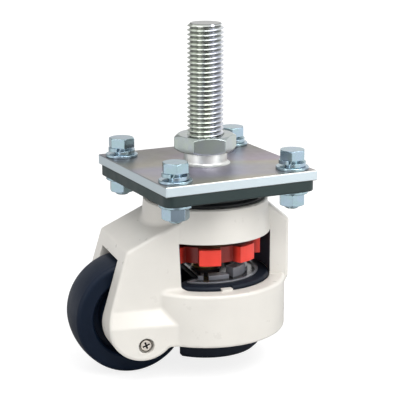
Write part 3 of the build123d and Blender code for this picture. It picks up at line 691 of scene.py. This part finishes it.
class Dresser:
    """Gives carried-over nodes and new pieces their finish, one material per slot."""

    def __init__(self) -> None:
        """Write one material for each slot."""
        self.materials = {slot.value.name: slot.value.material() for slot in Slot}
        self.slots = {sub["node"]: sub["material_slot"] for sub in frame["record"]["subparts"]}

    def dress_node(self, node: str) -> None:
        """Put a node's own slot finish on it.

        Args:
            node: name of a node of the frame.
        """
        mesh = frame["nodes"][node].data
        mesh.materials.clear()
        mesh.materials.append(self.materials[self.slots[node]])
        LOG.info("dressed %s as %s", node, self.slots[node])

    def dress_piece(self, piece: bpy.types.Object, body: Body, slot: Slot,
                    *nodes: str) -> None:
        """Finish a new piece, let it ride on its body and hide what it stands for.

        Args:
            piece: the new object.
            body: the body that carries it.
            slot: its finish.
            nodes: nodes of the frame that it stands for.
        """
        piece.data.materials.clear()
        piece.data.materials.append(self.materials[slot.value.name])
        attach(piece, body.value)
        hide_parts(*nodes)
        LOG.info("made %s on %s, %d faces", piece.name, body.value, len(piece.data.polygons))


# ---- surfaces --------------------------------------------------------------------------
def sheet_mesh(name: str, points: np.ndarray) -> bpy.types.Object:
    """Make a mesh object from a grid of points and close its seams.

    Points that meet are merged: the last column of a turned profile with its first one, and
    rows that shrink to a point or fold onto each other. So a turned profile comes out closed.

    Args:
        name: object name.
        points: array of rows by columns by 3, in metres.

    Returns:
        The linked object, at the origin.
    """
    rows, columns, _ = points.shape
    index = np.arange(rows * columns).reshape(rows, columns)
    quads = np.stack((index[:-1, :-1], index[:-1, 1:], index[1:, 1:], index[1:, :-1]), axis=-1)
    mesh = bpy.data.meshes.new(name)
    mesh.from_pydata(points.reshape(-1, 3).tolist(), [], quads.reshape(-1, 4).tolist())
    form = bmesh.new()
    form.from_mesh(mesh)
    bmesh.ops.remove_doubles(form, verts=form.verts, dist=WELD)
    bmesh.ops.dissolve_degenerate(form, edges=form.edges, dist=WELD)
    bmesh.ops.recalc_face_normals(form, faces=form.faces)
    form.to_mesh(mesh)
    form.free()
    mesh.shade_smooth()
    mesh.set_sharp_from_angle(angle=math.radians(SHARP_ANGLE))
    piece = bpy.data.objects.new(name, mesh)
    bpy.context.scene.collection.objects.link(piece)
    return piece


@dataclass(frozen=True)
class Thread:
    """Sizes of a rolled single-start thread, in millimetres.

    Attributes:
        crest: crest radius.
        pitch: thread pitch.
        bottom: lower end of the thread.
        top: upper end of the thread.
        chamfer: length of the lead-in cone at the top.
        run_out: slope at which the thread rises out of the shaft at its lower end.
    """

    crest: float
    pitch: float
    bottom: float
    top: float
    chamfer: float = 1.6
    run_out: float = 0.9

    def root(self) -> float:
        """Radius at the bottom of the thread."""
        return self.crest - THREAD_DEPTH * self.pitch

    def rows(self, turn: np.ndarray) -> tuple[np.ndarray, np.ndarray]:
        """Radii and heights of the thread's surface.

        Args:
            turn: angles of the columns, from 0 to a full turn.

        Returns:
            Two arrays of rows by columns.
        """
        turns = int(math.ceil((self.top - self.bottom) / self.pitch)) + 2
        steps = (np.arange(turns)[:, None] + np.array(THREAD_PLACE)[None, :]).ravel()
        fall = np.tile(np.array(THREAD_FALL), turns)
        climb = steps[:, None] - 1.0 + turn[None, :] / (2 * math.pi)
        height = np.clip(self.bottom + self.pitch * climb, self.bottom, self.top)
        depth = THREAD_DEPTH * self.pitch
        radius = np.repeat((self.crest - depth * fall)[:, None], turn.size, axis=1)
        low_cone = self.root() + (height - self.bottom) * self.run_out
        high_cone = self.crest - self.chamfer + (self.top - height)
        return np.minimum(radius, np.minimum(low_cone, high_cone)), height


@dataclass
class ThreadedShaft:
    """A turned shaft that ends in a thread. Sizes are in millimetres.

    The thread is a grid that climbs with the helix: at turn angle a and row s the height is
    bottom + pitch * (s - 1 + a / full turn), held between the thread's two ends, and the
    radius is the crest radius less the depth times a rounded trapezoid of the row's place in
    the pitch, held under the cones at both ends.

    Attributes:
        name: object name.
        thread: the thread's sizes.
        below: (radius, height) points of the plain shaft under the thread, from its lower
            end. The thread's own root is added as the last one.
        columns: facets round the shaft.
    """

    name: str
    thread: Thread
    below: Profile
    columns: int = 96

    def build(self) -> bpy.types.Object:
        """Turn the plain profile, add the thread and the flat end.

        Returns:
            The closed shaft.
        """
        thread = self.thread
        turn = np.linspace(0.0, 2 * math.pi, self.columns + 1)
        below = np.array((*self.below, (thread.root(), thread.bottom)))
        radius, height = thread.rows(turn)
        end = np.array([[thread.crest - thread.chamfer, thread.top], [0.0, thread.top]])
        ones = np.ones(turn.size)
        radius = np.vstack((below[:, :1] * ones, radius, end[:, :1] * ones))
        height = np.vstack((below[:, 1:] * ones, height, end[:, 1:] * ones))
        points = np.stack((radius * np.cos(turn), radius * np.sin(turn), height), axis=-1)
        return sheet_mesh(self.name, points * MM)


# ---- sub-assemblies --------------------------------------------------------------------
@dataclass
class Group:
    """A sub-assembly whose carried-over nodes are dressed.

    Attributes:
        single: nodes that are there once.
        repeated: names of the nodes that are there at each place.
        places: endings of those nodes' names.
    """

    single: tuple[str, ...] = ()
    repeated: tuple[str, ...] = ()
    places: tuple[str, ...] = ("left", "right")

    def build(self, dresser: Dresser) -> None:
        """Dress every node of the group.

        Args:
            dresser: gives the finishes.
        """
        for node in self.single:
            dresser.dress_node(node)
        for kind in self.repeated:
            for place in self.places:
                dresser.dress_node(f"{kind}_{place}")


@dataclass
class StudGroup(Group):
    """Threaded stud with its welded collar, and the lock nut on it. Sizes in millimetres.

    Attributes:
        thread: the stud's thread.
        tail: radius and lower end of the part under the plate.
        collar: radius and upper end of the collar.
        corner: height and width of the collar's rounded corner.
        cut: place of the corner's middle point.
        bead: width and height of the weld bead.
    """

    single: tuple[str, ...] = ("lock_nut",)
    thread: Thread = Thread(crest=10.0, pitch=2.5, bottom=7.0, top=77.0)
    tail: Pair = (9.0, -5.45)
    collar: Pair = (12.0, 7.0)
    corner: float = 0.6
    cut: float = 0.2
    bead: float = 1.8

    def bead_points(self) -> Profile:
        """Weld bead round the collar: a quarter wave from the plate up to the collar's wall.

        Returns:
            Its (radius, height) points.
        """
        quarter = np.linspace(0.0, 1.0, 7) * math.pi / 2
        radius = self.collar[0] + self.bead * (1.0 - np.sin(quarter) ** 1.3)
        height = self.bead * (1.0 - np.cos(quarter)) ** 0.8
        return tuple(zip(radius.tolist(), height.tolist()))

    def build(self, dresser: Dresser) -> None:
        """Make the threaded stud and dress the nut.

        Args:
            dresser: gives the finishes.
        """
        (tail, low), (wall, high) = self.tail, self.collar
        below = ((0.0, low), (tail, low), (tail, 0.0), *self.bead_points(),
                 (wall, high - self.corner), (wall - self.cut, high - self.cut),
                 (wall - self.corner, high))
        stud = ThreadedShaft("threaded_stud", self.thread, below).build()
        dresser.dress_piece(stud, Body.PLATE, Slot.STUD, "stud")
        super().build(dresser)


@dataclass
class PlateGroup(Group):
    """Mounting plate, swivel plate with king and seal, and the bolts that hold them."""

    single: tuple[str, ...] = ("mounting_plate", "swivel_plate", "king", "dust_seal")
    repeated: tuple[str, ...] = ("plate_bolt", "spring_washer", "upper_washer",
                                 "lower_washer", "plate_nut")
    places: tuple[str, ...] = ("left", "front", "right", "back")


@dataclass
class HousingGroup(Group):
    """Cast housing with the swivel race, the bush of the adjuster, and the wheel's axle."""

    single: tuple[str, ...] = ("housing", "swivel_race", "swivel_balls", "adjuster_bush",
                               "adjuster_washer", "axle", "bearing_spacer")
    repeated: tuple[str, ...] = ("axle_washer", "bearing_inner", "keeper_block",
                                 "keeper_screw")


@dataclass
class WheelGroup(Group):
    """Nylon wheel with its two bearings."""

    single: tuple[str, ...] = ("wheel",)
    repeated: tuple[str, ...] = ("bearing_outer", "bearing_shield", "bearing_balls")


@dataclass
class FootGroup(Group):
    """Levelling foot with its threaded spindle, and the adjusting ring. Sizes in millimetres.

    Attributes:
        thread: the spindle's thread.
        journal: radius of the plain part that the foot turns on.
        groove: radius of the retaining ring's groove.
        groove_ends: heights of the groove's two walls.
        tail: lower end of the spindle.
        bevel: width of the bevel there.
    """

    single: tuple[str, ...] = ("foot_core", "foot_pad", "spindle_washer", "spindle_clip",
                               "adjuster_ring", "adjuster_nut", "adjuster_clip")
    thread: Thread = Thread(crest=8.0, pitch=2.0, bottom=-60.0, top=-16.0, chamfer=1.2)
    journal: float = 6.0
    groove: float = 5.2
    groove_ends: Pair = (-79.3, -78.05)
    tail: float = -81.7
    bevel: float = 0.4

    def build(self, dresser: Dresser) -> None:
        """Make the threaded spindle and dress the foot and the adjuster.

        Args:
            dresser: gives the finishes.
        """
        low, high = self.groove_ends
        below = ((0.0, self.tail), (self.journal - self.bevel, self.tail),
                 (self.journal, self.tail + self.bevel), (self.journal, low),
                 (self.groove, low), (self.groove, high), (self.journal, high),
                 (self.journal, self.thread.bottom))
        spindle = ThreadedShaft("threaded_spindle", self.thread, below, columns=72).build()
        dresser.dress_piece(spindle, Body.FOOT, Slot.BRASS, "spindle")
        super().build(dresser)


# ---- studio ----------------------------------------------------------------------------
@dataclass(frozen=True)
class Lamp:
    """A soft rectangular lamp.

    Attributes:
        name: lamp name.
        place: centre in metres.
        aim: height of the point on the Z axis that it faces.
        size: width and height in metres.
        power: watts.
    """

    name: str
    place: Point
    aim: float
    size: Pair
    power: float

    def build(self) -> None:
        """Hang the lamp."""
        light = bpy.data.lights.new(self.name, "AREA")
        light.shape = "RECTANGLE"
        light.size, light.size_y = self.size
        light.energy = self.power
        lamp = bpy.data.objects.new(self.name, light)
        lamp.location = self.place
        towards = Vector(self.place) - Vector((0.0, 0.0, self.aim))
        lamp.rotation_euler = towards.to_track_quat("Z", "Y").to_euler()
        bpy.context.scene.collection.objects.link(lamp)


@dataclass(frozen=True)
class Flag:
    """A dark upright field at the horizon that polished surfaces mirror.

    Attributes:
        turn: turn from the camera's side about Z, in radians.
        core: half-width of its even part, in radians.
        rim: half-width at which it ends.
        level: brightness, where 1 is as bright as what is beside it.
        top: height of the direction at which it ends.
        fade: how far above and below that height it fades.
    """

    turn: float
    core: float
    rim: float
    level: float
    top: float
    fade: float = 0.06


@dataclass
class Studio:
    """Camera, floor, soft lamps and surroundings.

    Attributes:
        target: point the camera looks at.
        azimuth: turn of the camera about Z in degrees, 0 from the front.
        elevation: its height angle in degrees.
        distance: its distance from the target.
        focal_pixels: focal length in pixels of the picture.
        floor: height of the floor.
        floor_reach: half the side of the floor.
        floor_points: points along each side of the floor.
        sky: level of the even light on dull surfaces, a little more in the blue.
        overhead: heights of the direction between which the bright field overhead fades in.
        gap: sideways place of the dark gap in that field.
        gap_widths: half-widths of the gap's even part and of the whole.
        gap_level: brightness of the gap.
        mirrored: distances on the floor between which a mirror image of it brightens.
        whitened: distances on the floor between which it turns fully white.
        glow: the floor's own light near the object.
        shadow: how pale the floor is under that light, which sets how dark shadows read.
        flag_rows: the dark fields at the horizon.
        lamps: the soft lamps.
    """

    target: Point = (-0.00447, -0.00398, -0.0203)
    azimuth: float = -19.0
    elevation: float = 14.29
    distance: float = 0.79405
    focal_pixels: float = 1439.1
    floor: float = -0.1135
    floor_reach: float = 3.0
    floor_points: int = 25
    sky: Colour = (0.40, 0.40, 0.408)
    overhead: Pair = (0.40, 0.80)
    gap: float = 0.045
    gap_widths: Pair = (0.06, 0.22)
    gap_level: float = 0.05
    mirrored: Pair = (0.10, 0.35)
    whitened: Pair = (0.3, 1.2)
    glow: float = 0.83
    shadow: float = 0.30
    flag_rows: tuple[Flag, ...] = (Flag(turn=0.10, core=0.12, rim=0.50, level=0.02, top=0.20),
                                   Flag(turn=-1.25, core=0.10, rim=0.40, level=0.75, top=0.6),
                                   Flag(turn=3.80, core=0.30, rim=0.80, level=0.45, top=0.6))
    lamps: tuple[Lamp, ...] = (
        Lamp("key", (0.06, -0.69, 1.06), aim=-0.03, size=(1.0, 0.8), power=9.9),
        Lamp("high_left", (-0.68, -0.20, 1.06), aim=-0.03, size=(0.6, 0.6), power=2.6),
        Lamp("high_right", (0.62, -0.36, 1.06), aim=-0.03, size=(0.6, 0.6), power=4.4),
        Lamp("left", (-1.05, -0.50, 0.40), aim=-0.04, size=(0.35, 0.8), power=1.8),
        Lamp("right", (0.78, -0.86, 0.35), aim=-0.04, size=(0.35, 0.9), power=2.4),
    )

    def camera(self) -> None:
        """Put the camera at the usual three-quarter view."""
        turn, rise = math.radians(self.azimuth), math.radians(self.elevation)
        back = Vector((math.sin(turn) * math.cos(rise), -math.cos(turn) * math.cos(rise),
                       math.sin(rise)))
        lens = bpy.data.cameras.new("camera")
        lens.sensor_width = SENSOR_WIDTH
        lens.lens = self.focal_pixels * SENSOR_WIDTH / IMAGE_SIDE
        lens.clip_start, lens.clip_end = CLIP_RANGE
        eye = bpy.data.objects.new("camera", lens)
        eye.location = Vector(self.target) + back * self.distance
        eye.rotation_euler = back.to_track_quat("Z", "Y").to_euler()
        bpy.context.scene.collection.objects.link(eye)
        bpy.context.scene.camera = eye

    def flags(self, graph: Graph, direction: tuple[Socket, Socket, Socket]) -> Socket:
        """Brightness round the horizon: a black flag in front, grey ones beside and behind.

        Args:
            graph: the tree to write in.
            direction: the sockets of a direction's X, Y and Z.

        Returns:
            The level's socket, 1 outside the flags.
        """
        x, y, z = direction
        bearing = graph.math("ARCTAN2", y, x)
        facing = math.atan2(-math.cos(math.radians(self.azimuth)),
                            math.sin(math.radians(self.azimuth)))
        levels = []
        for flag in self.flag_rows:
            off = graph.math("ABSOLUTE", graph.math("SUBTRACT", bearing, facing + flag.turn))
            over = graph.spread(z, flag.top - flag.fade, flag.top + flag.fade)
            beside = graph.spread(off, flag.core, flag.rim, flag.level, 1.0)
            levels.append(graph.math("MAXIMUM", beside, over))
        return graph.product(*levels)

    def surroundings(self) -> None:
        """White to the eye, even light on the object, and dark flags for metal to mirror."""
        world = bpy.data.worlds.new("studio")
        world.use_nodes = True
        bpy.context.scene.world = world
        graph = Graph(world.node_tree)
        direction = graph.split(graph.add("TexCoord").outputs["Generated"])
        x, y, z = direction
        turn = math.radians(self.azimuth)
        aside = graph.math("MULTIPLY_ADD", x, math.cos(turn), -self.gap)
        aside = graph.math("MULTIPLY_ADD", y, math.sin(turn), aside)
        between = graph.spread(graph.math("ABSOLUTE", aside), *self.gap_widths,
                               self.gap_level, 1.0)
        high = graph.product(graph.spread(z, *self.overhead), between)
        level = graph.math("MAXIMUM", self.flags(graph, direction), high)
        path = graph.add("LightPath")
        glossy = graph.mix(level, BLACK, WHITE)
        felt = graph.mix(path.outputs["Is Glossy Ray"], self.sky, glossy)
        clear = graph.math("MAXIMUM", path.outputs["Is Camera Ray"],
                           path.outputs["Is Transmission Ray"])
        colour = graph.mix(clear, felt, WHITE)
        back = graph.add("Background", {"Color": colour, "Strength": 1.0})
        graph.add("OutputWorld", {"Surface": back.outputs[0]})

    def paper(self) -> bpy.types.Material:
        """Floor material: pale to the light, near white to the eye, flagged in mirrors.

        Returns:
            The new material.
        """
        made = bpy.data.materials.new("floor_paper")
        made.use_nodes = True
        graph = Graph(made.node_tree)
        path = graph.add("LightPath")
        seen = graph.math("MAXIMUM", path.outputs["Is Camera Ray"],
                          graph.math("MAXIMUM", path.outputs["Is Transmission Ray"],
                                     path.outputs["Is Glossy Ray"]))
        tooth = graph.noise(graph.place(), grain=0.002, detail=2.0)
        pale = graph.ramp(tooth, ((0.2, scaled(WHITE, 0.80)), (0.8, scaled(WHITE, 0.84))))
        plain = graph.add("BsdfDiffuse", {"Color": pale})
        dim = graph.add("BsdfDiffuse", {"Color": (*scaled(WHITE, self.shadow), 1.0)})
        where = graph.split()
        far = graph.length(where[0], where[1])
        image = graph.product(graph.spread(far, *self.mirrored), self.flags(graph, where))
        drop = graph.product(path.outputs["Is Glossy Ray"],
                             graph.math("SUBTRACT", 1.0, image))
        level = graph.product(graph.spread(far, *self.whitened, self.glow, 1.0),
                              graph.math("SUBTRACT", 1.0, drop))
        glow = graph.add("Emission", {"Color": (*WHITE, 1.0), "Strength": level})
        bright = graph.add("AddShader", {0: dim.outputs[0], 1: glow.outputs[0]})
        both = graph.add("MixShader", {0: seen, 1: plain.outputs[0], 2: bright.outputs[0]})
        graph.add("OutputMaterial", {"Surface": both.outputs[0]})
        return made

    def ground(self) -> None:
        """Lay a wide pale floor that keeps a faint shadow and reads as white."""
        side = np.linspace(-self.floor_reach, self.floor_reach, self.floor_points)
        x, y = np.meshgrid(side, side)
        points = np.stack((x, y, np.full_like(x, self.floor)), axis=-1)
        floor = sheet_mesh("floor", points)
        floor.data.materials.append(self.paper())

    def build(self) -> None:
        """Set up everything around the object."""
        bpy.context.scene.view_settings.view_transform = "Standard"
        self.camera()
        self.surroundings()
        self.ground()
        for lamp in self.lamps:
            lamp.build()


def main() -> None:
    """Build the studio and every sub-assembly in order."""
    logging.basicConfig(level=logging.INFO, format="%(message)s")
    Studio().build()
    dresser = Dresser()
    for group in (StudGroup(), PlateGroup(), HousingGroup(), WheelGroup(), FootGroup()):
        group.build(dresser)


if __name__ == "__main__":
    main()
